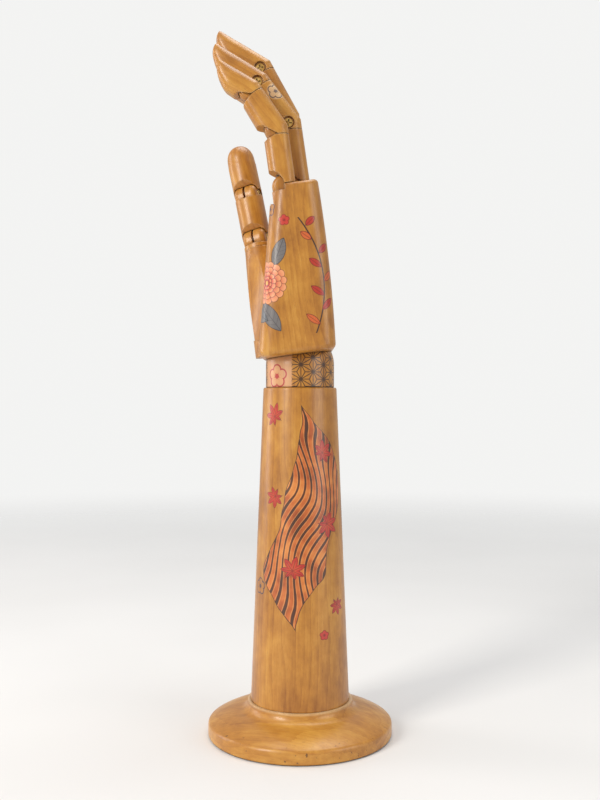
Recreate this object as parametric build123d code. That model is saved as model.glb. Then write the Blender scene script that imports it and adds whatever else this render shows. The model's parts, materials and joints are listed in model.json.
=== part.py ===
"""Wooden hand mannequin: a jointed left hand on a turned forearm and a round base. Millimetres, +Z up.

The origin is the middle of the base's underside. +X is the back of the hand, so the palm faces -X, and
the little finger is on the -Y side. The fingers stand half curled, at the stop of every finger joint.
"""
from build123d import *
from collections import namedtuple
import math
import os

os.makedirs("parts", exist_ok=True)

# Fits and cuts
joint_gap = 0.25
running_fit = 0.06
cut_overrun = 60.0

# Base disc
base_radius = 52.0
base_rim_height = 7.6
base_rim_round = 2.2
base_foot_round = 1.4
base_height = 19.6
slope_inner_radius = 34.2
slope_inner_height = 14.0
slope_bow = 1.1
cove_bow = 1.5
collar_wall = 1.8

# Forearm
forearm_foot_radius = 27.9
forearm_top_radius = 20.8
forearm_top_height = 196.0
forearm_seat_depth = 10.0
forearm_edge_round = 1.0
forearm_crown = 24.0
spring_bore_radius = 9.0

# Screws that hold the forearm in the base
base_screw_count = 3
base_screw_circle = 18.0
base_screw_radius = 2.0
base_screw_head_radius = 4.2
base_screw_head_height = 2.2
base_screw_length = 26.0
base_screw_recess = 0.8

# Wrist neck, and the stud, pin, tongue and spring that hold the hand down on the forearm
neck_radius = 19.4
neck_foot_round = 0.5
wrist_centre_rise = 12.8
palm_lean = 7.1
wrist_flex_limit = 17.0
wrist_back_limit = 30.0
fork_radius = 6.4
fork_drop = 5.6
fork_rise = 4.0
fork_play = 0.15
fork_pocket_play = 0.1
wrist_pin_radius = 2.0
wrist_pin_half_length = 5.4
tongue_thickness = 3.0
tongue_half_width = 4.0
tongue_foot_play = 0.6
tongue_length = 44.0
tongue_pin_radius = 1.5
tongue_pin_low = 28.0
tongue_pin_high = 38.0
tongue_pin_depth = 9.0
tongue_pin_cover = 6.0
stud_radius = 3.0
stud_tail = 4.0
spring_radius = 6.2
spring_wire_radius = 0.9
spring_length = 22.0
spring_turns = 7
washer_radius = 8.0
washer_thickness = 1.6
nut_radius = 5.8
nut_height = 5.0

# Palm block, measured in the palm's own frame from the middle of the wrist
palm_floor = 5.7
palm_waist = 48.0
palm_front_floor = 22.3
palm_front_top = 2.6
palm_back_floor = 20.6
palm_back_waist = 22.4
palm_back_top = 21.4
palm_half_width_floor = 29.5
palm_half_width_waist = 33.8
palm_half_width_top = 37.0
palm_corner = 9.0
palm_foot_round = 3.2
knuckle_line_ulnar = 95.6
knuckle_line_crest = 101.4
knuckle_line_radial = 98.2
knuckle_crest_offset = 6.0
knuckle_line_round = 2.4
hollow_radius = 33.0
hollow_depth = 7.0
hollow_offset = 5.0
hollow_start = 26.0

# What the joints of all fingers share
finger_gap = 1.4
knuckle_drop = 2.6
knuckle_cheek_drop = 2.5
knuckle_relief = 1.0
trough_drop = 9.0
trough_play = 0.35
shoulder_drop = 4.0
shoulder_slope = 21.0
tip_shoulder_drop = 3.0
tip_shoulder_slope = 14.0
head_wall = 1.2
cheek_wall = 1.2
plate_thickness = 1.0
plate_half_width = 2.7
plate_reach = 12.0
plate_play = 0.2
slot_floor = 3.4
screw_radius = 1.3
screw_head_radius = 2.7
screw_head_height = 1.2
screw_head_proud = 0.3
screw_hole_radius = 3.4
cross_recess_width = 0.8
cross_recess_length = 3.6
cross_recess_depth = 0.6
screw_end_cover = 1.2

# Fingers, from the little finger to the index finger
little_width = 15.0
little_depth = 13.8
little_base_length = 31.4
little_mid_length = 24.6
little_tip_length = 21.9
little_knuckle = 2.5
ring_width = 17.0
ring_depth = 14.4
ring_base_length = 35.0
ring_mid_length = 28.3
ring_tip_length = 31.2
ring_knuckle = 10.4
middle_width = 17.6
middle_depth = 14.8
middle_base_length = 43.4
middle_mid_length = 31.5
middle_tip_length = 31.4
middle_knuckle = 10.8
index_width = 17.2
index_depth = 14.4
index_base_length = 38.0
index_mid_length = 28.6
index_tip_length = 29.5
index_knuckle = 8.4

# Thumb
thumb_width = 17.4
thumb_seat_front = 16.0
thumb_seat_side = 42.5
thumb_seat_height = 74.4
thumb_stub_length = 6.6
thumb_base_length = 29.4
thumb_tip_length = 33.6
thumb_front_lean = 4.0
thumb_side_lean = 13.0
thumb_yaw = 70.0
thumb_bend = 3.0
thumb_base_shoulder_drop = 4.0
thumb_tip_shoulder_drop = 1.0
thumb_peg_radius = 3.0
thumb_peg_length = 18.0
thumb_peg_bite = 3.0
mount_foot_radius = 16.0
mount_foot_front = 9.0
mount_foot_side = 13.5
mount_foot_height = 7.5
mount_waist_radius = 12.6
mount_waist_front = 12.8
mount_waist_side = 31.0
mount_waist_height = 42.0

# Sections of the segments, as shares of half the finger's depth or of its width
corner_share = 0.37
tip_corner_share = 0.45
head_round_share = 0.42
base_back_shares = (1.05, 1.0)
base_front_shares = (0.93, 0.98)
mid_back_shares = (1.0, 0.99)
mid_front_shares = (1.2, 0.98)
taper_share = 0.97

# The notch on the palm side of a segment's foot: outer corner, lip and root, as shares of half its depth
knuckle_notch_shares = [(-0.95, 1.36), (-0.19, 0.97), (0.12, 0.44)]
mid_notch_shares = [(-1.22, 1.0), (-0.68, 0.58), (-0.06, -0.62)]
tip_notch_shares = [(-0.98, 0.92), (-0.57, 0.6), (-0.12, -0.6)]
thumb_notch_shares = [(-0.98, 0.98), (-0.62, 0.66), (0.14, -0.12)]

# A fingertip from its thickest section to its end: distance from the end as a share of its depth,
# palm face as a share of half its depth, width as a share of its width
fingertip_shares = [
    (0.9, 0.9, 1.0), (0.6, 0.72, 0.97), (0.31, 0.32, 0.88), (0.11, -0.08, 0.76), (0.0, -0.52, 0.6),
]

# The thumb's tip: distance from the end and width, both as shares of its width
thumb_tip_shares = [(0.75, 1.0), (0.43, 0.95), (0.25, 0.85), (0.12, 0.68), (0.04, 0.48), (0.0, 0.28)]

Finger = namedtuple("Finger", "name width depth base_length mid_length tip_length knuckle bends screw_side")
fingers = [
    Finger("little_finger", little_width, little_depth, little_base_length, little_mid_length,
           little_tip_length, little_knuckle, (0.3, 27.2, 25.4), 1),
    Finger("ring_finger", ring_width, ring_depth, ring_base_length, ring_mid_length,
           ring_tip_length, ring_knuckle, (0.5, 29.6, 21.3), -1),
    Finger("middle_finger", middle_width, middle_depth, middle_base_length, middle_mid_length,
           middle_tip_length, middle_knuckle, (1.0, 20.6, 30.6), -1),
    Finger("index_finger", index_width, index_depth, index_base_length, index_mid_length,
           index_tip_length, index_knuckle, (0.8, 23.0, 28.0), 1),
]

# Places worked out from the sizes above
wrist_height = forearm_top_height + wrist_centre_rise
forearm_seat = base_height - forearm_seat_depth
spring_top = forearm_top_height - forearm_crown
washer_top = spring_top - spring_length
nut_top = washer_top - washer_thickness
stud_foot = nut_top - nut_height - stud_tail
palm_frame = Pos(0, 0, wrist_height) * Rot(0, -palm_lean, 0)
thumb_seat = Pos(-thumb_seat_front, thumb_seat_side, thumb_seat_height)
thumb_seat_frame = palm_frame * thumb_seat * Rot(-thumb_side_lean, -thumb_front_lean, 0)
thumb_knuckle_frame = thumb_seat_frame * Rot(0, 0, thumb_yaw)
thumb_base_frame = thumb_knuckle_frame * Pos(0, 0, thumb_stub_length)
thumb_tip_frame = thumb_base_frame * Pos(0, 0, thumb_base_length) * Rot(0, -thumb_bend, 0)
knuckle_line = ThreePointArc(
    (-palm_half_width_top, knuckle_line_ulnar),
    (knuckle_crest_offset, knuckle_line_crest),
    (palm_half_width_top, knuckle_line_radial),
)


def knuckle_height(side):
    """The height of the palm's top edge at a distance across the hand, in the palm's frame."""
    centre = knuckle_line.arc_center
    return centre.Y + math.sqrt(knuckle_line.radius ** 2 - (side - centre.X) ** 2)


def finger_sides():
    """The middle of each finger across the hand, the row centred on the palm."""
    row = sum(finger.width for finger in fingers) + finger_gap * (len(fingers) - 1)
    sides = []
    edge = -row / 2
    for finger in fingers:
        sides.append(edge + finger.width / 2)
        edge += finger.width + finger_gap
    return sides


def finger_frames(finger, side):
    """The frames of a finger's three pivots: foot, first joint and last joint, +Z along each segment."""
    knuckle_bend, mid_bend, tip_bend = finger.bends
    knuckle = Pos(finger.knuckle, side, knuckle_height(side) - knuckle_drop)
    base = palm_frame * knuckle * Rot(0, -knuckle_bend, 0)
    mid = base * Pos(0, 0, finger.base_length) * Rot(0, -mid_bend, 0)
    tip = mid * Pos(0, 0, finger.mid_length) * Rot(0, -tip_bend, 0)
    return base, mid, tip


def bowed(start, end, bow):
    """An arc whose middle stands off the straight line from start to end by bow, to its left."""
    run = Vector(end[0] - start[0], end[1] - start[1])
    middle = Vector((start[0] + end[0]) / 2, (start[1] + end[1]) / 2)
    return ThreePointArc(start, middle + Vector(-run.Y, run.X).normalized() * bow, end)


def turned(edges):
    """A solid turned round the vertical axis from the edges of its half outline."""
    return revolve(Plane.XZ * make_face(edges), Axis.Z)


def upright(radius, low, high):
    """A round bar on the vertical axis between two heights."""
    return Pos(0, 0, (low + high) / 2) * Cylinder(radius, high - low)


def crossbar(radius, low, high):
    """A round bar along Y between two places."""
    return Pos(0, (low + high) / 2, 0) * Rot(90, 0, 0) * Cylinder(radius, high - low)


def flat(points, thickness):
    """A flat piece with a straight-sided outline in the XZ plane, its thickness centred on Y."""
    outline = make_face(Polyline(*points, close=True))
    return extrude(Plane.XZ * outline, thickness / 2, both=True)


def limb(stations):
    """Wood lofted through round-cornered stations: height, back face, palm face, width and corner."""
    sections = []
    for height, back, front, width, corner in stations:
        section = RectangleRounded(back + front, width, corner)
        sections.append(Pos((back - front) / 2, 0, height) * section)
    return loft(sections)


def base_disc():
    """The turned base: rounded rim, swelling slope, and a cove up to the collar round the forearm."""
    collar = forearm_foot_radius + collar_wall
    disc = turned([
        Line((0, 0), (base_radius, 0)),
        Line((base_radius, 0), (base_radius, base_rim_height)),
        bowed((base_radius, base_rim_height), (slope_inner_radius, slope_inner_height), -slope_bow),
        bowed((slope_inner_radius, slope_inner_height), (collar, base_height), cove_bow),
        Line((collar, base_height), (0, base_height)),
        Line((0, base_height), (0, 0)),
    ])
    rim = disc.edges().filter_by(GeomType.CIRCLE).filter_by(lambda edge: edge.radius > base_radius - joint_gap)
    disc = fillet(rim.sort_by(Axis.Z)[-1], base_rim_round)
    rim = disc.edges().filter_by(GeomType.CIRCLE).filter_by(lambda edge: edge.center().Z < joint_gap)
    disc = fillet(rim.sort_by(SortBy.RADIUS)[-1], base_foot_round)
    disc -= upright(forearm_foot_radius, forearm_seat, base_height + cut_overrun)
    for place in base_screw_places():
        disc -= place * base_screw()
        disc -= place * upright(base_screw_head_radius, -cut_overrun, base_screw_recess)
    return disc


def base_screw_places():
    """The screws stand in a ring round the middle of the base."""
    step = 360 / base_screw_count
    return [Rot(0, 0, step * index) * Pos(base_screw_circle, 0, 0) for index in range(base_screw_count)]


def base_screw():
    """A countersunk wood screw pointing up, its head under the base."""
    head = Pos(0, 0, base_screw_recess + base_screw_head_height / 2)
    head *= Cone(base_screw_head_radius, base_screw_radius, base_screw_head_height)
    return head + upright(base_screw_radius, base_screw_recess, base_screw_recess + base_screw_length)


def forearm():
    """The turned forearm: a straight taper on a foot, bored from below for the wrist's spring."""
    taper = turned([
        Line((0, forearm_seat), (forearm_foot_radius, forearm_seat)),
        Line((forearm_foot_radius, forearm_seat), (forearm_foot_radius, base_height)),
        Line((forearm_foot_radius, base_height), (forearm_top_radius, forearm_top_height)),
        Line((forearm_top_radius, forearm_top_height), (0, forearm_top_height)),
        Line((0, forearm_top_height), (0, forearm_seat)),
    ])
    taper = fillet(taper.edges().filter_by(GeomType.CIRCLE).sort_by(Axis.Z)[-1], forearm_edge_round)
    taper -= upright(spring_bore_radius, forearm_seat - cut_overrun, spring_top)
    taper -= upright(stud_radius + running_fit, spring_top - cut_overrun, forearm_top_height + cut_overrun)
    for place in base_screw_places():
        taper -= place * base_screw()
    return taper


def wrist_neck():
    """The neck: a drum under a half ball, with a pocket for the fork and a slot the tongue swings in."""
    half_ball = ThreePointArc(
        (neck_radius, wrist_height),
        (neck_radius * math.cos(math.radians(45)), wrist_height + neck_radius * math.sin(math.radians(45))),
        (0, wrist_height + neck_radius),
    )
    neck = turned([
        Line((0, forearm_top_height), (neck_radius, forearm_top_height)),
        Line((neck_radius, forearm_top_height), (neck_radius, wrist_height)),
        half_ball,
        Line((0, wrist_height + neck_radius), (0, forearm_top_height)),
    ])
    foot = neck.edges().filter_by(GeomType.CIRCLE).sort_by(Axis.Z)[0]
    neck = fillet(foot, neck_foot_round)
    neck -= upright(stud_radius, forearm_top_height - cut_overrun, wrist_height)
    neck -= upright(fork_radius + fork_pocket_play, wrist_height - fork_drop, wrist_height + cut_overrun)
    return neck - Pos(0, 0, wrist_height) * tongue_swing()


def tongue_swing():
    """The fan that the tongue needs between its two stops."""
    reach = neck_radius + joint_gap
    side = tongue_half_width + tongue_foot_play
    forward = math.radians(palm_lean + wrist_flex_limit)
    backward = math.radians(palm_lean - wrist_back_limit)
    points = []
    for angle, hand in ((forward, -1), (backward, 1)):
        edge = Vector(hand * side * math.cos(angle), hand * side * math.sin(angle))
        far = edge + Vector(-math.sin(angle), math.cos(angle)) * 2 * reach
        points += [edge, far] if hand < 0 else [far, edge]
    return flat(points, tongue_thickness + 2 * fork_play)


def wrist_stud():
    """The steel stud: a fork in the neck's pocket on a rod that runs down into the forearm."""
    stud = upright(fork_radius, wrist_height - fork_drop, wrist_height + fork_rise)
    stud += upright(stud_radius, stud_foot, wrist_height - fork_drop)
    slot_foot = tongue_half_width + tongue_foot_play
    slot = Box(4 * fork_radius, tongue_thickness + 2 * fork_play, slot_foot + 2 * fork_rise,
               align=(Align.CENTER, Align.CENTER, Align.MIN))
    stud -= Pos(0, 0, wrist_height - slot_foot) * slot
    return stud - Pos(0, 0, wrist_height) * crossbar(wrist_pin_radius, -fork_radius, fork_radius)


def wrist_tongue():
    """The steel tongue that carries the palm, in the palm's frame, turning on the wrist pin."""
    outline = Circle(tongue_half_width)
    outline += Pos(0, tongue_length / 2) * Rectangle(2 * tongue_half_width, tongue_length)
    outline -= Circle(wrist_pin_radius + running_fit)
    tongue = extrude(Plane.XZ * outline, tongue_thickness / 2, both=True)
    return tongue - tongue_pins()


def tongue_pins():
    """Two pins driven in from the thumb side, through the palm and the tongue."""
    reach = palm_half_width_waist - tongue_pin_cover
    pin = crossbar(tongue_pin_radius, -tongue_pin_depth, reach)
    return Part(children=[]) + [Pos(0, 0, height) * pin for height in (tongue_pin_low, tongue_pin_high)]


def tension_spring():
    """The coil spring round the stud."""
    rise = spring_length - 2 * spring_wire_radius - 2 * running_fit
    path = Helix(rise / spring_turns, rise, spring_radius)
    wire = Plane(origin=path @ 0, z_dir=path % 0) * Circle(spring_wire_radius)
    return Pos(0, 0, washer_top + spring_wire_radius + running_fit) * sweep(wire, path=path)


def tension_washer():
    """The washer under the spring."""
    washer = upright(washer_radius, nut_top, washer_top)
    return washer - upright(stud_radius, nut_top - cut_overrun, washer_top + cut_overrun)


def tension_nut():
    """The hexagon nut that sets the wrist's friction."""
    nut = Pos(0, 0, nut_top - nut_height) * extrude(RegularPolygon(nut_radius, 6), nut_height)
    return nut - upright(stud_radius, nut_top - nut_height - cut_overrun, nut_top + cut_overrun)


def head_radius(depth):
    return depth / 2 - head_wall


def head_half_width(width):
    return width / 2 - cheek_wall - joint_gap


def barrel(depth, width, gap):
    """The round head of a joint along Y, or with a gap, the socket that turns on it."""
    half = head_half_width(width) + gap
    drum = crossbar(head_radius(depth) + gap, -half, half)
    return fillet(drum.edges().filter_by(GeomType.CIRCLE), head_round_share * head_radius(depth))


def plate_slot():
    """The saw slot in a head, open above, that the hinge plate swings in."""
    slot = Box(2 * cut_overrun, plate_thickness + 2 * plate_play, slot_floor + cut_overrun,
               align=(Align.CENTER, Align.CENTER, Align.MIN))
    return Pos(0, 0, -slot_floor) * slot


def hinge_plate():
    """The thin steel plate let into a segment's foot, round at its lower end, turning on the screw."""
    outline = Circle(plate_half_width)
    outline += Pos(0, plate_reach / 2) * Rectangle(2 * plate_half_width, plate_reach)
    outline -= Circle(screw_radius + running_fit)
    return extrude(Plane.XZ * outline, plate_thickness / 2, both=True)


def pivot_screw(width, side):
    """The brass cross-head screw through a head's two cheeks, its head on the given side."""
    cheek = head_half_width(width)
    under = cheek + screw_head_proud - screw_head_height
    screw = crossbar(screw_radius, -under, cheek - screw_end_cover)
    dome = Pos(0, -under - screw_head_height / 2, 0) * Rot(90, 0, 0)
    dome *= Cylinder(screw_head_radius, screw_head_height)
    outer = dome.edges().filter_by(GeomType.CIRCLE).sort_by(Axis.Y)[0]
    screw += fillet(outer, screw_head_height / 3)
    recess = Box(cross_recess_width, 2 * cross_recess_depth, cross_recess_length)
    recess += Box(cross_recess_length, 2 * cross_recess_depth, cross_recess_width)
    screw -= Pos(0, -under - screw_head_height, 0) * Rot(0, 45, 0) * recess
    return screw if side < 0 else Rot(0, 0, 180) * screw


def screw_room(width, side):
    """What the screw takes out of a head: its shank, and the recess for its head."""
    cheek = head_half_width(width)
    under = cheek + screw_head_proud - screw_head_height
    room = crossbar(screw_radius, -under, cheek - screw_end_cover)
    room += crossbar(screw_head_radius, -under - screw_head_height, -under)
    return room if side < 0 else Rot(0, 0, 180) * room


def shoulder_line(drop, slope, lift):
    """A shoulder from back to palm side: level behind the pivot, sloping down in front of it."""
    fall = cut_overrun * math.tan(math.radians(slope))
    return [(cut_overrun, lift - drop), (0, lift - drop), (-cut_overrun, lift - drop - fall)]


def add_head(wood, depth, width, drop, slope, side):
    """Cut a segment's top to its shoulder and stand the slotted head on it, about a pivot at the origin."""
    above = shoulder_line(drop, slope, 0) + [(-cut_overrun, cut_overrun), (cut_overrun, cut_overrun)]
    wood -= flat(above, 2 * cut_overrun)
    wood += barrel(depth, width, 0)
    return wood - plate_slot() - screw_room(width, side)


def foot(depth, width, back, front, corner, bend):
    """The wood below a pivot, flush with the segment below it, which is bent back by an angle."""
    section = RectangleRounded(back + front, width, corner)
    own = Pos((back - front) / 2, 0, -depth / 2) * extrude(section, depth / 2)
    lower = RectangleRounded(depth, width, corner_share * depth)
    return own & Rot(0, bend, 0) * Pos(0, 0, -depth) * extrude(lower, 2 * depth)


def add_socket(wood, depth, width, drop, slope, bend, notch_shares, side):
    """Shape a segment's foot to turn on the head below it, about a pivot at the origin."""
    wood -= barrel(depth, width, joint_gap)
    below = shoulder_line(drop, slope, joint_gap)
    below += [(-cut_overrun, -2 * cut_overrun), (cut_overrun, -2 * cut_overrun)]
    wood -= Rot(0, bend, 0) * flat(below, 2 * cut_overrun)
    half = depth / 2
    corner, lip, root = [Vector(x * half, z * half) for x, z in notch_shares]
    outside = corner + (corner - lip).normalized() * cut_overrun
    notch = [outside, lip, root, (root.X, -cut_overrun), (outside.X, -cut_overrun)]
    wood -= flat(notch, 2 * cut_overrun)
    wood -= hinge_plate() + crossbar(screw_radius + running_fit, -plate_thickness / 2, plate_thickness / 2)
    hole = crossbar(screw_hole_radius, -width, -head_half_width(width))
    return wood - (hole if side < 0 else Rot(0, 0, 180) * hole)


def under_knuckle_line():
    """Everything below the palm's top edge, in the palm's frame."""
    left = knuckle_line @ 0
    right = knuckle_line @ 1
    mass = make_face([
        knuckle_line,
        Line(right, (right.X, -cut_overrun)),
        Line((right.X, -cut_overrun), (left.X, -cut_overrun)),
        Line((left.X, -cut_overrun), left),
    ])
    return extrude(Plane.YZ * mass, cut_overrun, both=True)


def finger_base(finger, side):
    """The segment next to the palm, its foot cut to the palm's top edge."""
    half = finger.depth / 2
    corner = corner_share * finger.depth
    wood = limb([
        (0, base_back_shares[0] * half, base_front_shares[0] * half, finger.width, corner),
        (finger.base_length, base_back_shares[1] * half, base_front_shares[1] * half,
         taper_share * finger.width, corner),
    ])
    knuckle = Pos(finger.knuckle, side, knuckle_height(side) - knuckle_drop) * Rot(0, -finger.bends[0], 0)
    wood -= knuckle.inverse() * Pos(0, 0, joint_gap) * under_knuckle_line()
    wood = add_socket(wood, finger.depth, finger.width, 0, 0, finger.bends[0],
                      knuckle_notch_shares, finger.screw_side)
    top = Pos(0, 0, finger.base_length)
    return top * add_head(top.inverse() * wood, finger.depth, taper_share * finger.width,
                          shoulder_drop, shoulder_slope, finger.screw_side)


def finger_mid(finger):
    """The middle segment, with its belly on the palm side."""
    half = finger.depth / 2
    corner = corner_share * finger.depth
    width = taper_share * finger.width
    back = mid_back_shares[0] * half
    front = mid_front_shares[0] * half
    wood = limb([
        (0, back, front, width, corner),
        (finger.mid_length, mid_back_shares[1] * half, mid_front_shares[1] * half,
         taper_share * width, corner),
    ])
    wood += foot(finger.depth, width, back, front, corner, finger.bends[1])
    wood = add_socket(wood, finger.depth, width, shoulder_drop, shoulder_slope, finger.bends[1],
                      mid_notch_shares, finger.screw_side)
    top = Pos(0, 0, finger.mid_length)
    return top * add_head(top.inverse() * wood, finger.depth, taper_share * width,
                          tip_shoulder_drop, tip_shoulder_slope, finger.screw_side)


def finger_tip(finger):
    """The last segment, flat-backed, its pad curving up to the end."""
    half = finger.depth / 2
    width = taper_share * taper_share * finger.width
    corner = corner_share * finger.depth
    stations = []
    for distance, front, across in fingertip_shares:
        thick = (1 + front) * half
        stations.append((finger.tip_length - distance * finger.depth, half, front * half, across * width,
                         min(corner, tip_corner_share * thick)))
    wood = limb([(0, half, half, width, corner), stations[0]]) + limb(stations)
    wood += foot(finger.depth, width, half, half, corner, finger.bends[2])
    return add_socket(wood, finger.depth, width, tip_shoulder_drop, tip_shoulder_slope, finger.bends[2],
                      tip_notch_shares, finger.screw_side)


def palm_section(height, front, back, half_width, inset):
    """A level section of the palm, drawn in by an inset all round."""
    section = RectangleRounded(back + front - 2 * inset, 2 * (half_width - inset), palm_corner - inset / 2)
    return Pos((back - front) / 2, 0, height) * section


def palm_front(height):
    """How far the palm's front edge lies from the wrist's axis at a height."""
    share = (height - palm_floor) / (knuckle_line_crest - palm_floor)
    return palm_front_floor + share * (palm_front_top - palm_front_floor)


def palm_core():
    """The palm without its thumb mount: thick at the wrist, thin at the knuckles, its top edge an arc."""
    top = knuckle_line_crest + knuckle_drop
    core = loft([
        palm_section(palm_floor, palm_front_floor, palm_back_floor, palm_half_width_floor, 0),
        palm_section(palm_waist, palm_front(palm_waist), palm_back_waist, palm_half_width_waist, 0),
        palm_section(top, palm_front(top), palm_back_top, palm_half_width_top, 0),
    ])
    left = knuckle_line @ 0
    right = knuckle_line @ 1
    above = make_face([
        knuckle_line,
        Line(right, (cut_overrun, right.Y)),
        Line((cut_overrun, right.Y), (cut_overrun, 2 * top)),
        Line((cut_overrun, 2 * top), (-cut_overrun, 2 * top)),
        Line((-cut_overrun, 2 * top), (-cut_overrun, left.Y)),
        Line((-cut_overrun, left.Y), left),
    ])
    core -= extrude(Plane.YZ * above, cut_overrun, both=True)
    foot = core.faces().sort_by(Axis.Z)[0]
    core = fillet(foot.edges(), palm_foot_round)
    crown = core.faces().sort_by(Axis.Z)[-1]
    return fillet(crown.edges(), knuckle_line_round)


def thumb_mount():
    """The swelling at the thumb side of the palm, up to the seat of the thumb's knuckle."""
    seat = palm_frame.inverse() * thumb_seat_frame
    return loft([
        Pos(-mount_foot_front, mount_foot_side, mount_foot_height) * Circle(mount_foot_radius),
        Pos(-mount_waist_front, mount_waist_side, mount_waist_height) * Circle(mount_waist_radius),
        seat * Circle(thumb_width / 2),
    ])


def palm_hollow():
    """The shallow hollow of the palm, deeper towards the fingers."""
    start = Vector(-palm_front(hollow_start) - hollow_radius, hollow_offset, hollow_start)
    top = knuckle_line_crest
    end = Vector(hollow_depth - palm_front(top) - hollow_radius, hollow_offset, top)
    scoop = Cylinder(hollow_radius, 2 * cut_overrun + top, align=(Align.CENTER, Align.CENTER, Align.MIN))
    return Plane(origin=start, z_dir=end - start) * scoop


def palm_block():
    """The palm with its thumb mount, wrist socket and four slotted knuckle heads, in the palm's frame."""
    palm = palm_core() + thumb_mount() - palm_hollow()
    palm -= Sphere(neck_radius + joint_gap)
    palm -= wrist_tongue() + tongue_pins()
    seat = palm_frame.inverse() * thumb_seat_frame
    palm -= seat * upright(thumb_peg_radius + running_fit, -thumb_peg_length, 0)
    palm -= seat * upright(thumb_width / 2 + trough_play, 0, thumb_stub_length)
    for finger, side in zip(fingers, finger_sides()):
        pivot = Pos(finger.knuckle, side, knuckle_height(side) - knuckle_drop)
        near = -finger.width - finger_gap if finger is fingers[0] else -(finger.width + finger_gap) / 2
        far = finger.width + finger_gap if finger is fingers[-1] else (finger.width + finger_gap) / 2
        room = Box(cut_overrun, far - near, cut_overrun, align=(Align.MAX, Align.MIN, Align.MIN))
        palm -= pivot * Pos(knuckle_relief, near, -knuckle_cheek_drop) * room
        palm -= pivot * Pos(-head_radius(finger.depth) - trough_play, near, -trough_drop) * room
    for finger, side in zip(fingers, finger_sides()):
        pivot = Pos(finger.knuckle, side, knuckle_height(side) - knuckle_drop)
        palm += pivot * barrel(finger.depth, finger.width, 0)
        palm -= pivot * plate_slot_low()
        palm -= pivot * screw_room(finger.width, finger.screw_side)
    return palm


def plate_slot_low():
    """The saw slot in a knuckle head, which stops behind the head."""
    slot = Box(2 * cut_overrun, plate_thickness + 2 * plate_play, slot_floor + cut_overrun,
               align=(Align.MAX, Align.CENTER, Align.MIN))
    return Pos(2 * plate_half_width, 0, -slot_floor) * slot


def thumb_knuckle():
    """The thumb's knuckle: a short round stub that turns on the mount, with a slotted head."""
    half = thumb_width / 2
    corner = half - running_fit
    wood = limb([
        (0, half, half, thumb_width, corner),
        (thumb_stub_length, half, half, thumb_width, corner),
    ])
    top = Pos(0, 0, thumb_stub_length)
    wood = top * add_head(top.inverse() * wood, thumb_width, thumb_width, thumb_base_shoulder_drop, 0, -1)
    return wood - upright(thumb_width, -thumb_width, 0) - upright(thumb_peg_radius, 0, thumb_peg_bite)


def thumb_base():
    """The thumb's lower segment."""
    half = thumb_width / 2
    corner = half - running_fit
    wood = limb([
        (-half, half, half, thumb_width, corner),
        (thumb_base_length, half, half, thumb_width, corner),
    ])
    wood = add_socket(wood, thumb_width, thumb_width, thumb_base_shoulder_drop, 0, 0,
                      thumb_notch_shares, -1)
    top = Pos(0, 0, thumb_base_length)
    return top * add_head(top.inverse() * wood, thumb_width, thumb_width, thumb_tip_shoulder_drop,
                          tip_shoulder_slope, -1)


def thumb_tip():
    """The thumb's round tip."""
    half = thumb_width / 2
    stations = []
    for distance, across in thumb_tip_shares:
        width = across * thumb_width
        stations.append((thumb_tip_length - distance * thumb_width, across * half, across * half,
                         width, width / 2 - running_fit))
    wood = limb([(-half, half, half, thumb_width, half - running_fit), stations[0]]) + limb(stations)
    return add_socket(wood, thumb_width, thumb_width, thumb_tip_shoulder_drop, tip_shoulder_slope,
                      thumb_bend, thumb_notch_shares, -1)


def hand_parts():
    """The palm and all that it carries, each piece in its place."""
    pieces = {
        "palm_block": palm_frame * palm_block(),
        "wrist_tongue": palm_frame * wrist_tongue(),
        "tongue_pins": palm_frame * tongue_pins(),
    }
    knuckle_screws = []
    for finger, side in zip(fingers, finger_sides()):
        base, mid, tip = finger_frames(finger, side)
        name = finger.name
        pieces[name + "_base"] = base * finger_base(finger, side)
        pieces[name + "_mid"] = mid * finger_mid(finger)
        pieces[name + "_tip"] = tip * finger_tip(finger)
        pieces[name + "_base_plate"] = base * hinge_plate()
        pieces[name + "_mid_plate"] = mid * hinge_plate()
        pieces[name + "_tip_plate"] = tip * hinge_plate()
        narrow = taper_share * finger.width
        pieces[name + "_mid_screw"] = mid * pivot_screw(narrow, finger.screw_side)
        pieces[name + "_tip_screw"] = tip * pivot_screw(taper_share * narrow, finger.screw_side)
        knuckle_screws.append(base * pivot_screw(finger.width, finger.screw_side))
    pieces["knuckle_screws"] = Compound(children=knuckle_screws)
    return pieces


def thumb_parts():
    """The thumb, each piece in its place."""
    peg = upright(thumb_peg_radius, -thumb_peg_length, thumb_peg_bite)
    return {
        "thumb_knuckle": thumb_knuckle_frame * thumb_knuckle(),
        "thumb_peg": thumb_knuckle_frame * peg,
        "thumb_base": thumb_base_frame * thumb_base(),
        "thumb_base_plate": thumb_base_frame * hinge_plate(),
        "thumb_base_screw": thumb_base_frame * pivot_screw(thumb_width, -1),
        "thumb_tip": thumb_tip_frame * thumb_tip(),
        "thumb_tip_plate": thumb_tip_frame * hinge_plate(),
        "thumb_tip_screw": thumb_tip_frame * pivot_screw(thumb_width, -1),
    }


def stand_parts():
    """The base, forearm and neck, with what is inside them."""
    screws = [place * base_screw() for place in base_screw_places()]
    pin = crossbar(wrist_pin_radius, -wrist_pin_half_length, wrist_pin_half_length)
    return {
        "base_disc": base_disc(),
        "forearm": forearm(),
        "base_screws": Compound(children=screws),
        "wrist_neck": wrist_neck(),
        "wrist_stud": wrist_stud(),
        "wrist_pin": Pos(0, 0, wrist_height) * pin,
        "tension_spring": tension_spring(),
        "tension_washer": tension_washer(),
        "tension_nut": tension_nut(),
    }


mannequin = {**stand_parts(), **hand_parts(), **thumb_parts()}
for node, shape in mannequin.items():
    export_step(shape, f"parts/{node}.step")
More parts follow.
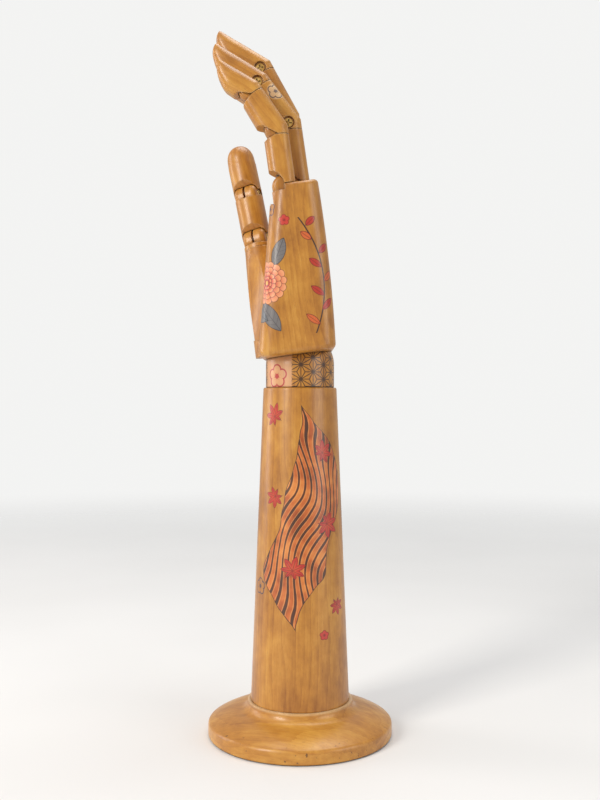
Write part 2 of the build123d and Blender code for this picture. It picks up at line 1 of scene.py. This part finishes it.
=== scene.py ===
import bpy
import json
import math
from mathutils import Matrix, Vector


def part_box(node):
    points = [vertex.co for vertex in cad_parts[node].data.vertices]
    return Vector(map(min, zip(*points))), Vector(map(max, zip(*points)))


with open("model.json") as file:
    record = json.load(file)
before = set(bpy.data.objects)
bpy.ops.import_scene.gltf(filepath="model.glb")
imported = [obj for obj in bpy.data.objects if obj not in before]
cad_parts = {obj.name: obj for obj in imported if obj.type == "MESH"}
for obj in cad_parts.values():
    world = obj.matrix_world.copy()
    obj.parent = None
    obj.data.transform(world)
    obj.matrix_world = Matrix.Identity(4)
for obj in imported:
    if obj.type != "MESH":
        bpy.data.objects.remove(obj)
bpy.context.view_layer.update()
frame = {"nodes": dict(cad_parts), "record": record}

# The base is one turned disc of pale beech under honey lacquer. The grain runs across it, the lathe
# left faint rings, the rim has a few small dark chips, and a painted highlight lies as a pale ring
# on the lip where the forearm stands.


class Wire:
    """One output of a shader node. Sums written on it add Math nodes."""

    def __init__(self, tree, socket):
        self.tree, self.socket = tree, socket

    def add(self, kind, settings=None, inputs=None, output=0):
        """Adds any node: its type, its settings, its sockets' values or links, and the output."""
        node = self.tree.nodes.new("ShaderNode" + kind)
        for name, value in (settings or {}).items():
            if name == "stops":
                while len(node.color_ramp.elements) < len(value):
                    node.color_ramp.elements.new(0.5)
                for stop, (place, colour) in zip(node.color_ramp.elements, value):
                    stop.position, stop.color = place, (*colour, 1)
            else:
                setattr(node, name, value)
        for name, value in (inputs or {}).items():
            if isinstance(value, Wire):
                self.tree.links.new(value.socket, node.inputs[name])
            else:
                node.inputs[name].default_value = value
        return None if output is None else Wire(self.tree, node.outputs[output])

    def maths(self, operation, other=None, first=None):
        """A Math node on this output, with another term after it or before it."""
        terms = [term for term in (first, self, other) if term is not None]
        return self.add("Math", {"operation": operation}, dict(enumerate(terms)))

    def __add__(self, other):
        return self.maths("ADD", other)

    def __radd__(self, other):
        return self.maths("ADD", first=other)

    def __sub__(self, other):
        return self.maths("SUBTRACT", other)

    def __rsub__(self, other):
        return self.maths("SUBTRACT", first=other)

    def __mul__(self, other):
        return self.maths("MULTIPLY", other)

    def __rmul__(self, other):
        return self.maths("MULTIPLY", first=other)

    def __truediv__(self, other):
        return self.maths("DIVIDE", other)

    def __pow__(self, other):
        return self.maths("POWER", other)

    def ease(self, low, high):
        """0 below low, 1 above high, and a soft step between."""
        return self.add("MapRange", {"interpolation_type": "SMOOTHSTEP"},
                        {"Value": self, "From Min": low, "From Max": high})

    def parts(self):
        """The three numbers of a vector."""
        node = self.add("SeparateXYZ", None, {0: self}).socket.node
        return [Wire(self.tree, socket) for socket in node.outputs]

    def stretched(self, along):
        """A place with its Z cut to a share, which draws a pattern out along Z."""
        return self.add("VectorMath", {"operation": "MULTIPLY"}, {0: self, 1: (1, 1, along)})

    def noise(self, scale, detail=2, roughness=0.5):
        """Soft random spots, each about 1 / scale millimetres across."""
        return self.add("TexNoise", None, {"Vector": self, "Scale": scale, "Detail": detail,
                                           "Roughness": roughness})

    def painted(self, colour, mask):
        """This colour with another one, written or made, laid over it where the mask is 1."""
        over = colour if isinstance(colour, Wire) else (*colour, 1)
        return self.add("Mix", {"data_type": "RGBA"}, {0: mask, 6: self, 7: over}, output=2)


def seen(red, green, blue):
    """A colour in the numbers of a screen, from 0 to 255, as the shader wants it."""
    return tuple(((part / 255 + 0.055) / 1.055) ** 2.4 for part in (red, green, blue))


def begin(name):
    """A new material with only its output, and its Object coordinates in millimetres."""
    material = bpy.data.materials.new(name)
    material.use_nodes = True
    tree = material.node_tree
    tree.nodes.clear()
    place = Wire(tree, None).add("TexCoord", output="Object")
    return material, place.add("VectorMath", {"operation": "SCALE"}, {0: place, "Scale": 1000})


def end(material, place, **sockets):
    """Closes a material with a Principled shader, whose sockets are named with _ for a space."""
    inputs = {name.replace("_", " "): value for name, value in sockets.items()}
    shader = place.add("BsdfPrincipled", None, inputs)
    place.add("OutputMaterial", None, {"Surface": shader}, output=None)
    return material


def dress(node, material):
    """Gives a CAD node its finish."""
    mesh = frame["nodes"][node].data
    mesh.materials.clear()
    mesh.materials.append(material)


def beech(place, turn=(0, 0, 0), shift=(0, 0, 0), heart=(34, 22), ring=3.6, warmth=0.0):
    """Beech with its grain along Z after a turn, with rings round a far heart, streaks, pores and
    blotches. Gives its colour, its tone from 0 to 1 and its height."""
    grain = place.add("Mapping", {"vector_type": "TEXTURE"}, {"Vector": place, "Rotation": turn})
    grain = grain.add("VectorMath", {"operation": "ADD"}, {0: grain, 1: shift})
    across, over = grain.parts()[:2]
    fibre = grain.stretched(0.05).noise(0.8, 5, 0.62)
    blotch = grain.stretched(0.45).noise(0.05, 3)
    cloud = grain.stretched(0.7).noise(0.17, 4, 0.6)
    sway = grain.stretched(0.3).noise(0.03, 1)
    reach = ((across - heart[0]) ** 2 + (over - heart[1]) ** 2) ** 0.5 + sway * 30 + fibre * 1.1
    late = (reach / ring).maths("FRACT")
    late = late * late * late
    pore = grain.stretched(0.09).noise(2.4, 2, 0.7).ease(0.6, 0.76)
    tone = fibre * 0.34 + blotch * 0.7 + cloud * 0.42 - late * 0.1 - 0.25 + warmth
    tone = tone.add("Clamp", None, {0: tone})
    colour = tone.add("ValToRGB", {"stops": [
        (0.0, seen(114, 62, 16)), (0.3, seen(156, 98, 28)), (0.5, seen(184, 124, 42)),
        (0.7, seen(205, 149, 62)), (1.0, seen(226, 178, 98)),
    ]}, {0: tone})
    colour = colour.painted(seen(98, 56, 24), pore * 0.4)
    return colour, tone, fibre * 0.5 - pore * 0.3 - late * 0.1


def lacquer(material, place, colour, tone, height, rub=0.5):
    """The clear coat over wood and paint: rubbed pale at edges, and dark in the corners with dirt
    and painted shade.
    """
    edge_radius, corner_size, bump_depth = 0.0011, 0.0016, 0.0002
    soft = place.add("Bevel", {"samples": 4}, {"Radius": edge_radius})
    facing = place.add("NewGeometry", output="Normal")
    edge = 1 - soft.add("VectorMath", {"operation": "DOT_PRODUCT"}, {0: soft, 1: facing},
                        output="Value")
    rubbed = edge.ease(0.03, 0.2) * place.noise(0.35, 3).ease(0.35, 0.6) * rub
    open_air = place.add("AmbientOcclusion", {"samples": 6}, {"Distance": corner_size}, output="AO")
    # Dirt and painted shade: the colour darkens where the surface is closed in by its own corners
    # and recesses.
    dirt_and_shade = (1 - open_air.ease(0.25, 0.75)) * 0.9
    colour = colour.painted(seen(240, 206, 156), rubbed)
    colour = colour.painted(seen(30, 18, 10), dirt_and_shade)
    bump = place.add("Bump", None, {"Strength": 0.3, "Distance": bump_depth, "Height": height,
                                    "Normal": soft})
    return end(material, place, Base_Color=colour, Roughness=0.46 - tone * 0.1 + dirt_and_shade * 0.25,
               Normal=bump, Coat_Weight=0.32, Coat_Roughness=0.2)


material, place = begin("base_beech")
x, y, z = place.parts()
level_grain = (math.radians(90), 0, math.radians(70))
colour, tone, height = beech(place, turn=level_grain, shift=(40, 9, 3), heart=(20, 90), ring=5.2,
                             warmth=0.08)
from_axis = (x * x + y * y) ** 0.5
lathe = (from_axis * 5.2).maths("SINE")
chip = place.noise(0.42, 3, 0.6).ease(0.665, 0.69) * from_axis.ease(46, 50)
colour = colour.painted(seen(62, 36, 18), chip * 0.8)
# A painted highlight: a pale ring on the top of the lip round the forearm.
collar_highlight = (1 - from_axis.ease(29.4, 30.0)) * z.ease(18, 19.4)
colour = colour.painted(seen(238, 206, 158), collar_highlight * 0.6)
height = height + lathe * 0.06 - chip * 1.5
dress("base_disc", lacquer(material, place, colour, tone, height, rub=0.8))

# Three plain steel wood screws come up through the base into the forearm. Their heads are seen only
# from below.


def metal(name, light, dark, roughness):
    """Bare metal, mottled, darkened in its corners with dirt and painted shade."""
    material, place = begin(name)
    corner_size, bump_depth = 0.0008, 0.0001
    cloud = place.noise(0.5, 3, 0.6)
    open_air = place.add("AmbientOcclusion", {"samples": 6}, {"Distance": corner_size}, output="AO")
    # Dirt and painted shade: the colour darkens in corners and recesses, and the metal turns dull
    # there.
    dirt_and_shade = 1 - open_air.ease(0.4, 0.9)
    colour = cloud.add("ValToRGB", {"stops": [(0.35, dark), (0.65, light)]}, {0: cloud})
    colour = colour.painted(seen(30, 22, 14), dirt_and_shade * 0.9)
    bump = place.add("Bump", None, {"Strength": 0.2, "Distance": bump_depth,
                                    "Height": place.noise(3, 3)})
    return end(material, place, Base_Color=colour, Metallic=1 - dirt_and_shade * 0.7,
               Roughness=cloud * 0.2 + roughness, Normal=bump)


steel = metal("plain_steel", seen(176, 174, 168), seen(128, 124, 118), 0.28)
dress("base_screws", steel)

# The forearm is one tapered turning of the same beech, glued and screwed into the base. It is
# painted by hand under the lacquer: an orange stream with black current lines, red maple leaves and
# plum blossom.


def about(u, v, centre, turn=0.0):
    """A place on a surface seen from a motif's centre, along and across the motif's axis."""
    across, along = u - centre[0], v - centre[1]
    cosine, sine = math.cos(turn), math.sin(turn)
    return across * cosine + along * sine, along * cosine - across * sine


def polar(a, b):
    """The distance from a motif's centre, and the angle round it."""
    return (a * a + b * b) ** 0.5, b.maths("ARCTAN2", a)


def fold(angle, count, turn):
    """An angle from the middle of the nearest of so many equal sectors."""
    step = math.tau / count
    return (((angle - turn) / step + 0.5).maths("FRACT") - 0.5) * step


def petals(far, angle, count, ring, size, turn):
    """How far outside a ring of round petals a place lies."""
    folded = fold(angle, count, turn)
    a, b = far * folded.maths("COSINE") - ring, far * folded.maths("SINE")
    return (a * a + b * b) ** 0.5 - size


def blade(u, v, centre, half_length, half_width, turn):
    """How far outside a pointed leaf a place lies, and its place along and across the leaf."""
    a, b = about(u, v, centre, turn)
    lift = (half_length ** 2 - half_width ** 2) / (2 * half_width)
    return (a * a + (b.maths("ABSOLUTE") + lift) ** 2) ** 0.5 - (lift + half_width), a, b


def filled(outside, blur=0.12):
    """1 within a form and 0 beyond it, from how far outside it a place lies."""
    return 1 - outside.ease(-blur, blur)


def inked(outside, width, blur=0.1):
    """A brush line along an edge."""
    return filled(outside.maths("ABSOLUTE") - width / 2, blur)


def maple(colour, u, v, centre, size, turn):
    """A red maple leaf of seven lobes with a dark outline and midribs."""
    far, angle = polar(*about(u, v, centre, turn))
    lobe = math.radians(50)
    share = ((angle / lobe + 0.5).maths("FRACT") - 0.5).maths("ABSOLUTE") * 2
    outside = far - ((1 - share) ** 0.8 * 0.55 + 0.45) * (1 - angle * angle * 0.055) * size
    rib = filled(share * far * 0.4 - 0.16) * filled(far - size * 0.72)
    colour = colour.painted(seen(178, 46, 36), filled(outside))
    colour = colour.painted(seen(206, 92, 52), filled(outside + size * 0.3, size * 0.2) * 0.6)
    colour = colour.painted(seen(92, 22, 20), rib * 0.7)
    return colour.painted(seen(74, 22, 18), inked(outside, 0.34))


def plum(colour, u, v, centre, size, ink, fill=None, turn=0.3):
    """A plum blossom of five round petals, solid or in outline, with its stamens."""
    far, angle = polar(*about(u, v, centre))
    outside = petals(far, angle, 5, size * 0.56, size * 0.42, turn)
    if fill:
        colour = colour.painted(fill, filled(outside) * 0.92)
    heart = filled(far - size * 0.13)
    spoke = filled(fold(angle, 10, turn).maths("ABSOLUTE") * far - 0.07, 0.08)
    stamens = spoke * filled(far - size * 0.42) * far.ease(size * 0.1, size * 0.2)
    lines = inked(outside, size * 0.13).maths("MAXIMUM", heart).maths("MAXIMUM", stamens * 0.8)
    return colour.painted(ink, lines * 0.92)


wrap_radius = 24
material, place = begin("forearm_beech")
x, y, z = place.parts()
colour, tone, height = beech(place, shift=(3, 17, 40), heart=(-48, 30), ring=4.4)
u, v = x.maths("ARCTAN2", y * -1) * wrap_radius, z

# The stream sways as it climbs the arm, runs to a point at each end, and is full of current lines
drift = place.noise(0.06, 1) - 0.5
sway = (v * 0.048 + 0.7).maths("SINE") * 9
course = u - 3 - sway - drift * 6
pointed = v.ease(58, 100) * (1 - v.ease(148, 192))
half_width = pointed * ((v * 0.15).maths("SINE") * 1.6 + 18.5) - 1
water = course.maths("ABSOLUTE") - half_width
wave = course * 0.25 + (v * 0.13 + course * 0.12).maths("SINE") * 0.65 + drift * 1.6
crest = (wave * math.tau).maths("SINE")
swell = place.noise(0.11, 2)
orange = swell.add("ValToRGB", {"stops": [
    (0.3, seen(150, 66, 26)), (0.5, seen(192, 98, 42)), (0.7, seen(216, 132, 62)),
]}, {0: swell})
orange = orange.painted(seen(228, 168, 100), inked(crest - 0.1, 0.3, 0.12) * 0.7)
orange = orange.painted(seen(44, 26, 24), (crest - swell * 0.9).ease(-0.05, 0.25) * 0.94)
colour = colour.painted(orange, filled(water) * 0.95)
colour = colour.painted(seen(58, 30, 22), inked(water, 0.4))

for centre, size, turn in [
    ((-17, 180), 8.0, 2.2), ((14, 160), 7.6, 0.7), ((-15, 136), 6.8, -2.5), ((16, 121), 8.4, -0.6),
    ((-4, 96), 8.0, 1.3), ((22, 76), 6.0, -1.4), ((44, 150), 7.6, 0.4), ((-44, 110), 7.2, 2.7),
]:
    colour = maple(colour, u, v, centre, size, turn)
for centre in [(12.8, 60.5), (-38, 128), (-37, 40), (52, 92), (66, 170), (58, 42)]:
    colour = plum(colour, u, v, centre, 2.7, seen(120, 20, 22), seen(190, 42, 40))
for centre in [(-25.5, 85.5), (70, 124), (-66, 160)]:
    colour = plum(colour, u, v, centre, 4.6, seen(44, 34, 58))
dress("forearm", lacquer(material, place, colour, tone, height))

# The wrist neck is a turned drum under a half ball, which the palm rocks on. The drum carries a
# painted band: six-pointed hemp leaves in brown ink, and one open plum blossom in red on a pale
# ground.


def hemp_leaf(u, v, origin, pitch, width):
    """The hemp-leaf lattice: triangles, each with spokes from its middle to its corners."""
    rise = pitch * math.sqrt(3) / 2
    shares = []
    for angle in (0, math.tau / 3, -math.tau / 3):
        along = ((u - origin[0]) * math.cos(angle) + (v - origin[1]) * math.sin(angle)) / rise
        shares.append(along.maths("FRACT"))
    total = shares[0] + shares[1] + shares[2]
    flip = total.ease(1.4, 1.6)
    shares = [share + flip - share * flip * 2 for share in shares]
    least = shares[0].maths("MINIMUM", shares[1]).maths("MINIMUM", shares[2])
    most = shares[0].maths("MAXIMUM", shares[1]).maths("MAXIMUM", shares[2])
    spoke = (1 - least * 2 - most) * (pitch / 2)
    return filled((least * rise).maths("MINIMUM", spoke) - width / 2, 0.09)


neck_radius = 19.4
material, place = begin("neck_beech")
x, y, z = place.parts()
colour, tone, height = beech(place, shift=(31, 5, 12), heart=(25, -40), warmth=0.05)
u, v = x.maths("ARCTAN2", y * -1) * neck_radius, z
pale = filled(u + 4.5, 0.6) * (u + 24).ease(-0.6, 0.6)
stars = hemp_leaf(u, v, origin=(0.5, 200.5), pitch=8, width=0.5)
colour = colour.painted(seen(228, 178, 140), pale * 0.5)
colour = colour.painted(seen(48, 26, 16), stars * (1 - pale) * 0.92)
colour = plum(colour, u, v, (-14, 202.2), 6.5, seen(170, 34, 42), turn=math.radians(90))
dress("wrist_neck", lacquer(material, place, colour, tone, height))

# Inside the forearm the steel stud hangs on its pin and holds the hand down by a coil spring, a
# washer and a nut. None of it shows when the hand is together.
spring_steel = metal("spring_steel", seen(120, 118, 116), seen(72, 70, 70), 0.3)
for node in ("wrist_stud", "wrist_pin", "tension_washer", "tension_nut", "wrist_tongue",
             "tongue_pins"):
    dress(node, steel)
dress("tension_spring", spring_steel)

# The palm is carved from one block, with the thumb's mount, a shallow hollow and four slotted
# knuckle heads. A chrysanthemum with grey leaves is painted round its front edge, and a red sprig
# behind.
pivots = {joint["name"]: joint["pos_m"] for joint in frame["record"]["behaviour"]["joints"]}
palm_lean = math.radians(7.1)


def grain_of(joint, plate):
    """The turn that lays the grain along a segment, from its pivot to its hinge plate's middle."""
    low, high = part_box(plate)
    run = [(low[axis] + high[axis]) / 2 - pivots[joint][axis] for axis in range(3)]
    size = math.sqrt(sum(part * part for part in run))
    return -math.asin(run[1] / size), math.atan2(run[0], run[2]), 0


def bloom(colour, u, v, centre, size):
    """A chrysanthemum: four rows of round-ended petals, peach at the tips and red at the feet."""
    far, angle = polar(*about(u, v, centre))
    rows = [(1.0, 16, 0.0), (0.76, 14, 0.2), (0.52, 11, 0.05), (0.3, 8, 0.3)]
    for share, count, turn in rows:
        reach = size * share
        half = reach * math.sin(math.pi / count)
        folded = fold(angle, count, turn)
        a, b = far * folded.maths("COSINE"), far * folded.maths("SINE")
        cap = ((a - reach + half).maths("MAXIMUM", 0) ** 2 + b * b) ** 0.5 - half
        side = half - b.maths("ABSOLUTE") - (reach - a) * (half / reach)
        lines = inked(cap, 0.3) + filled(side - 0.12, 0.12) * filled(cap)
        petal = (far / reach).ease(0.25, 1.0)
        tint = petal.add("ValToRGB", {"stops": [
            (0.0, seen(150, 30, 34)), (0.5, seen(202, 76, 58)), (1.0, seen(234, 160, 112)),
        ]}, {0: petal})
        colour = colour.painted(tint, filled(cap))
        colour = colour.painted(seen(96, 40, 34), lines * 0.75)
    return colour.painted(seen(216, 160, 70), filled(far - size * 0.1))


def leaf(colour, u, v, centre, half_length, half_width, turn, fill, ink):
    """A pointed leaf with a midrib and side veins."""
    outside, a, b = blade(u, v, centre, half_length, half_width, turn)
    midrib = filled(b.maths("ABSOLUTE") - 0.14)
    side = ((a + b.maths("ABSOLUTE") * -0.8) / (half_length * 0.3)).maths("FRACT")
    veins = midrib.maths("MAXIMUM", filled(side - 0.12, 0.06) * 0.5)
    colour = colour.painted(fill, filled(outside) * 0.9)
    colour = colour.painted(ink, veins * filled(outside) * 0.8)
    return colour.painted(ink, inked(outside, 0.3))


material, place = begin("palm_beech")
colour, tone, height = beech(place, turn=(0, -palm_lean, 0), shift=(11, 3, 25), heart=(60, -26),
                             ring=4.0)
hand = place.add("Mapping", {"vector_type": "TEXTURE"}, {
    "Vector": place, "Rotation": (0, -palm_lean, 0),
    "Location": tuple(1000 * part for part in pivots["wrist_tilt"]),
})
x, y, v = hand.parts()

# The paint is measured round the palm: over its front face, its near side, its back and the corners
palm_corner = 9
front_face, front_lean, back_face, near_side, near_lean = 23.5, 0.206, 21.5, 29.5, 0.075
front = v * front_lean - front_face + palm_corner
back = back_face - palm_corner
side = v * -near_lean - near_side + palm_corner
flat = x.maths("MAXIMUM", front).maths("MINIMUM", back)
sideways = (side - y).maths("MAXIMUM", 0)
front_turn = (front - x).maths("MAXIMUM", 0).maths("ARCTAN2", sideways)
back_turn = (x - back).maths("MAXIMUM", 0).maths("ARCTAN2", sideways)
beyond = (y - side).maths("MAXIMUM", 0) * (x.ease(-1, 3) * 2 - 1)
u = flat + (back_turn - front_turn) * palm_corner + beyond

grey, dark = seen(104, 108, 112), seen(44, 42, 46)
for centre, length, width, turn in [
    ((-13, 27), 10, 4.0, 2.1), ((-23, 30), 10, 4.2, 2.6),
    ((-30, 50), 9, 3.8, 2.9), ((-4, 60), 8, 3.4, 1.1),
]:
    colour = leaf(colour, u, v, centre, length, width, turn, grey, dark)
colour = bloom(colour, u, v, (-13, 45), 11.5)
colour = bloom(colour, u, v, (-35, 34), 8.5)
colour = plum(colour, u, v, (1.0, 76.5), 2.9, seen(140, 26, 26), seen(196, 52, 46))
colour = plum(colour, u, v, (-7.5, 84), 4.0, seen(52, 44, 74))

# The sprig: a stem on a wide bend, with leaves on its two sides in turn
bend_u, bend_v, bend_radius = -44, 44, 62
stem = ((u - bend_u) ** 2 + (v - bend_v) ** 2) ** 0.5 - bend_radius
stem_ends = filled((v - 46).maths("ABSOLUTE") - 31)
colour = colour.painted(seen(60, 34, 26), inked(stem, 0.7) * stem_ends)
red, amber, ink = seen(180, 40, 32), seen(206, 96, 44), seen(104, 20, 18)
for step in range(8):
    rise = 20 + 7.4 * step
    leaf_side = 1 if step % 2 else -1
    foot = bend_u + math.sqrt(bend_radius ** 2 - (rise - bend_v) ** 2)
    centre = (foot + 3.1 * leaf_side, rise + 2.6)
    turn = math.radians(90 - 48 * leaf_side)
    tint = red if step % 3 else amber
    colour = leaf(colour, u, v, centre, 4.6 - 0.2 * step, 1.7, turn, tint, ink)
dress("palm_block", lacquer(material, place, colour, tone, height, rub=0.6))

# Each finger is three beech segments, each cut from another place in the wood. A segment's foot
# turns on the round head below it. One small plum blossom in outline is painted on the ring finger.
finger_tones = {
    "little_finger": 0.05, "ring_finger": 0.02, "middle_finger": 0.04, "index_finger": 0.0,
}
foot_joints = {"base": "knuckle", "mid": "middle_joint", "tip": "end_joint"}
for number, (finger, warmth) in enumerate(finger_tones.items()):
    for level, (segment, joint) in enumerate(foot_joints.items()):
        node = finger + "_" + segment
        material, place = begin(node + "_beech")
        turn = grain_of(finger + "_" + joint, node + "_plate")
        shift = (13 * number + 5, 7 * level, 29 * number + 11 * level)
        colour, tone, height = beech(place, turn=turn, shift=shift, ring=3.0, warmth=warmth,
                                     heart=(26 - 9 * level, 18 + 5 * number))
        if node == "ring_finger_mid":
            x, y, z = place.parts()
            blossom = (-13.4, 359.3)
            disc = filled(polar(*about(x, z, blossom))[0] - 4.8, 0.5)
            marked = colour.painted(seen(232, 200, 158), disc * 0.6)
            marked = plum(marked, x, z, blossom, 4.4, seen(92, 74, 70))
            near_face = 1 - y.ease(-16.5, -15)
            colour = colour.painted(marked, near_face)
        dress(node, lacquer(material, place, colour, tone, height, rub=0.6))

# The thumb is a short knuckle, which turns on a wooden peg in the palm's mount, and two round
# segments above it. It is left unpainted, and the peg is hidden in its hole.
thumb_grain = {
    "thumb_knuckle": ("thumb_lower_joint", "thumb_base_plate"),
    "thumb_base": ("thumb_lower_joint", "thumb_base_plate"),
    "thumb_tip": ("thumb_end_joint", "thumb_tip_plate"),
}
for number, (node, (joint, plate)) in enumerate(thumb_grain.items()):
    material, place = begin(node + "_beech")
    shift = (8 * number, 21, 37 * number)
    colour, tone, height = beech(place, turn=grain_of(joint, plate), shift=shift, ring=3.2,
                                 heart=(-22, 15 + 6 * number), warmth=0.03)
    dress(node, lacquer(material, place, colour, tone, height, rub=0.6))
material, place = begin("peg_beech")
colour, tone, height = beech(place, shift=(4, 4, 4))
dress("thumb_peg", lacquer(material, place, colour, tone, height))

# Every joint turns on a brass cross-head screw through a thin steel plate let into the upper
# segment. The brass has dulled to a warm yellow, and its recesses are darkened with dirt and
# painted shade.
brass = metal("dulled_brass", seen(240, 198, 118), seen(200, 152, 80), 0.3)
for finger in finger_tones:
    for segment in foot_joints:
        dress(finger + "_" + segment + "_plate", steel)
    dress(finger + "_mid_screw", brass)
    dress(finger + "_tip_screw", brass)
for node in ("thumb_base_plate", "thumb_tip_plate"):
    dress(node, steel)
for node in ("knuckle_screws", "thumb_base_screw", "thumb_tip_screw"):
    dress(node, brass)

# The set is a pale floor that fades into a pale backdrop, four soft lamps, and a level camera a
# little below the middle of the hand's height.
bpy.ops.mesh.primitive_circle_add(vertices=96, radius=3, fill_type="NGON", location=(0, 0, 0))
floor = bpy.context.object
floor.name = "floor"
material, place = begin("pale_floor")
x, y = place.parts()[:2]
distance = (x * x + y * y) ** 0.5
cloth = place.noise(0.004, 2)
pale_shader = place.add("BsdfDiffuse", None, {"Color": cloth.add("ValToRGB", {"stops": [
    (0.3, (0.80, 0.79, 0.77)), (0.7, (0.84, 0.83, 0.81)),
]}, {0: cloth})})
clear = place.add("BsdfTransparent")
mixed = place.add("MixShader", None, {0: distance.ease(350, 1500), 1: pale_shader, 2: clear})
place.add("OutputMaterial", None, {"Surface": mixed}, output=None)
floor.data.materials.append(material)

world = bpy.data.worlds.new("studio")
bpy.context.scene.world = world
world.use_nodes = True
world.node_tree.nodes.clear()
sky = Wire(world.node_tree, None)
camera_ray = sky.add("LightPath", output="Is Camera Ray")
glossy_ray = sky.add("LightPath", output="Is Glossy Ray")
through_ray = sky.add("LightPath", output="Is Transmission Ray")
shown = camera_ray.maths("MAXIMUM", glossy_ray * 0.35).maths("MAXIMUM", through_ray)
lighting = sky.add("Background", None, {"Color": (0.92, 0.95, 1.0, 1), "Strength": 0.34})
backdrop = sky.add("Background", None, {"Color": (0.90, 0.90, 0.89, 1), "Strength": 1.0})
mixed = sky.add("MixShader", None, {0: shown, 1: lighting, 2: backdrop})
sky.add("OutputWorld", None, {"Surface": mixed}, output=None)


def softbox(name, place, width, height, watts, colour=(1, 1, 1)):
    """An area lamp that faces the middle of the hand's height."""
    aim = (0, 0, 0.2)
    lamp = bpy.data.lights.new(name, "AREA")
    lamp.shape, lamp.size, lamp.size_y = "RECTANGLE", width, height
    lamp.energy, lamp.color = watts, colour
    holder = bpy.data.objects.new(name, lamp)
    bpy.context.collection.objects.link(holder)
    run = [aim_part - part for part, aim_part in zip(place, aim)]
    level = math.hypot(run[0], run[1])
    holder.location = place
    holder.rotation_euler = (math.atan2(level, -run[2]), 0, math.atan2(-run[0], run[1]))


softbox("key", (-0.95, -0.95, 0.75), 0.4, 0.9, 15, (1.0, 0.96, 0.9))
softbox("fill", (1.3, -0.8, 0.5), 0.9, 0.9, 7.5, (1.0, 0.98, 0.95))
softbox("top", (0.1, 0.2, 1.5), 1.0, 1.0, 11)
softbox("left", (-1.2, 0.35, 0.5), 0.4, 1.0, 4.5, (1.0, 0.95, 0.95))

camera_distance, camera_height = 0.538, 0.189
camera_data = bpy.data.cameras.new("camera")
camera_data.lens = 42.48
camera = bpy.data.objects.new("camera", camera_data)
camera.location = (0, -camera_distance, camera_height)
camera.rotation_euler = (math.radians(90), 0, 0)
bpy.context.collection.objects.link(camera)
bpy.context.scene.camera = camera
bpy.context.scene.view_settings.view_transform = "Standard"
